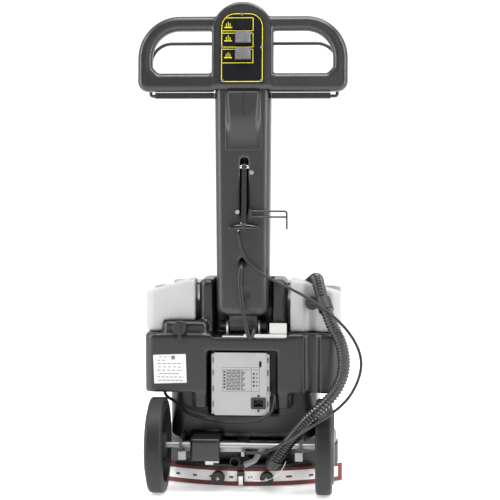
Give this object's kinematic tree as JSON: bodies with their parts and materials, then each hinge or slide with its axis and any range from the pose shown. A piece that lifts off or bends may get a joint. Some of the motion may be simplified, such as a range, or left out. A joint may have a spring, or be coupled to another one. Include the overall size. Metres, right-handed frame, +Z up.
{
  "type": "floor scrubber",
  "caption": "Battery walk-behind floor scrubber with disc brush, curved squeegee, lift-off recovery tank, tilting column and closed loop handle.",
  "frame": {"origin": "middle of the machine's footprint, on the floor", "axes": "+Z up, +Y the way it travels (the operator stands at -Y), +X to the operator's right"},
  "size_m": [0.4731, 0.6046, 1.0271],
  "materials": {
    "body_grey": "grained dark grey moulded plastic",
    "handle_grey": "dark grey moulded plastic, satin",
    "tank_grey": "light grey moulded plastic",
    "black_plastic": "black plastic",
    "white_plastic": "white plastic",
    "clear_plastic": "clear flexible plastic",
    "rubber_black": "black rubber",
    "tyre_grey": "dark grey tyre",
    "blade_red": "red brown rubber",
    "steel": "bright steel",
    "frame_black": "black painted steel",
    "case_grey": "plain sheet metal",
    "plate_white": "blank printed plate",
    "bristle": "nylon bristles",
    "cord_black": "black flexible line",
    "clear_tube": "translucent soft tube"
  },
  "bodies": {
    "chassis": {"body": "body_grey", "chassis_frame": "frame_black", "axle": "steel", "axle_brackets": "steel", "brush_deck": "handle_grey", "splash_skirt": "rubber_black", "brush_motor": "frame_black", "vacuum_motor": "frame_black", "batteries": "black_plastic", "charger_case": "case_grey", "mains_inlet": "black_plastic", "blank_plates": "plate_white", "cap_strap": "rubber_black", "foot_bracket": "steel", "pivot_bolt": "steel", "feed_elbow": "white_plastic", "drain_pipe": "rubber_black", "drain_spout": "clear_tube", "suction_hose": "cord_black", "lift_cable": "cord_black", "charger_lead": "cord_black", "tether_wire": "steel", "harness": "cord_black"},
    "wheel_l": {"hub_left": "tyre_grey", "tyre_left": "tyre_grey"},
    "wheel_r": {"hub_right": "tyre_grey", "tyre_right": "tyre_grey"},
    "brush": {"brush_plate": "black_plastic", "brush_bristles": "bristle"},
    "fan": {"vacuum_fan": "white_plastic"},
    "filler": {"filler_cap": "black_plastic"},
    "tank": {"recovery_tank": "tank_grey", "hose_coupler": "black_plastic", "tank_hose": "cord_black", "tank_inlet": "black_plastic", "lid_seal": "rubber_black"},
    "lid": {"tank_lid": "tank_grey"},
    "float": {"float_ball": "white_plastic"},
    "column": {"column": "body_grey", "column_cover": "handle_grey", "handle": "handle_grey", "control_panel": "black_plastic", "panel_screws": "steel", "switch_caps": "clear_plastic", "bail_rails": "frame_black", "lever_bolts": "steel", "cord_hook": "steel"},
    "lever": {"lift_lever": "black_plastic", "t_handle": "black_plastic"},
    "bail": {"bail": "steel"},
    "rocker_b": {"brush_rocker": "black_plastic"},
    "rocker_v": {"vacuum_rocker": "black_plastic"},
    "squeegee": {"squeegee_carrier": "black_plastic", "squeegee_blades": "blade_red", "blade_strap": "steel", "squeegee_arm": "frame_black", "latch_base": "black_plastic"},
    "knob_l": {"knob_left": "black_plastic"},
    "knob_r": {"knob_right": "black_plastic"},
    "latch": {"centre_latch": "steel"}
  },
  "joints": [
    {"name": "wheel_left_spin", "type": "hinge", "parent": "chassis", "child": "wheel_l", "pos_m": [-0.176, -0.2, 0.1], "axis": [1, 0, 0], "continuous": true},
    {"name": "wheel_right_spin", "type": "hinge", "parent": "chassis", "child": "wheel_r", "pos_m": [0.176, -0.2, 0.1], "axis": [1, 0, 0], "continuous": true},
    {"name": "brush_spin", "type": "hinge", "parent": "chassis", "child": "brush", "pos_m": [0, 0.099, 0.05], "axis": [0, 0, 1], "continuous": true},
    {"name": "fan_spin", "type": "hinge", "parent": "chassis", "child": "fan", "pos_m": [0.155, 0.05, 0.28], "axis": [0, 0, 1], "continuous": true},
    {"name": "filler_turn", "type": "hinge", "parent": "chassis", "child": "filler", "pos_m": [-0.131, -0.175, 0.345], "axis": [0, -1, 0], "range_deg": [0, 90]},
    {"name": "column_tilt", "type": "hinge", "parent": "chassis", "child": "column", "pos_m": [0, -0.12, 0.345], "axis": [1, 0, 0], "range_deg": [0, 40], "deforming": ["lift_cable", "harness"]},
    {"name": "lever_pull", "type": "hinge", "parent": "column", "child": "lever", "pos_m": [0.004, -0.151, 0.682], "axis": [-1, 0, 0], "range_deg": [0, 60]},
    {"name": "squeegee_lift", "type": "hinge", "parent": "chassis", "child": "squeegee", "pos_m": [0, -0.045, 0.11], "axis": [-1, 0, 0], "range_deg": [0, 6], "deforming": ["suction_hose"]},
    {"name": "knob_left_turn", "type": "hinge", "parent": "squeegee", "child": "knob_l", "pos_m": [-0.052, -0.16, 0.022], "axis": [0, -1, 0], "continuous": true},
    {"name": "knob_right_turn", "type": "hinge", "parent": "squeegee", "child": "knob_r", "pos_m": [0.052, -0.16, 0.022], "axis": [0, -1, 0], "continuous": true},
    {"name": "latch_release", "type": "slide", "parent": "squeegee", "child": "latch", "axis": [0, -1, 0], "range_m": [0, 0.008]},
    {"name": "tank_lift_off", "type": "slide", "parent": "chassis", "child": "tank", "axis": [0, 0, 1], "range_m": [0, 0.15]},
    {"name": "lid_open", "type": "hinge", "parent": "tank", "child": "lid", "pos_m": [0, 0.005, 0.4252], "axis": [1, 0, 0], "range_deg": [0, 80]},
    {"name": "float_rise", "type": "slide", "parent": "tank", "child": "float", "axis": [0, 0, 1], "range_m": [0, 0.018]},
    {"name": "bail_squeeze", "type": "hinge", "parent": "column", "child": "bail", "pos_m": [0, -0.115, 0.83171], "axis": [1, 0, 0], "range_deg": [0, 5], "stiffness_Nm_per_rad": 1.5},
    {"name": "brush_switch", "type": "hinge", "parent": "column", "child": "rocker_b", "pos_m": [0.002, -0.16184, 0.95259], "axis": [1, 0, 0], "range_deg": [-10, 10]},
    {"name": "vacuum_switch", "type": "hinge", "parent": "column", "child": "rocker_v", "pos_m": [0.002, -0.16485, 0.91822], "axis": [1, 0, 0], "range_deg": [-10, 10]}
  ],
  "couplings": [
    {"joint": "lever_pull", "follows": "squeegee_lift", "ratio": 10}
  ]
}
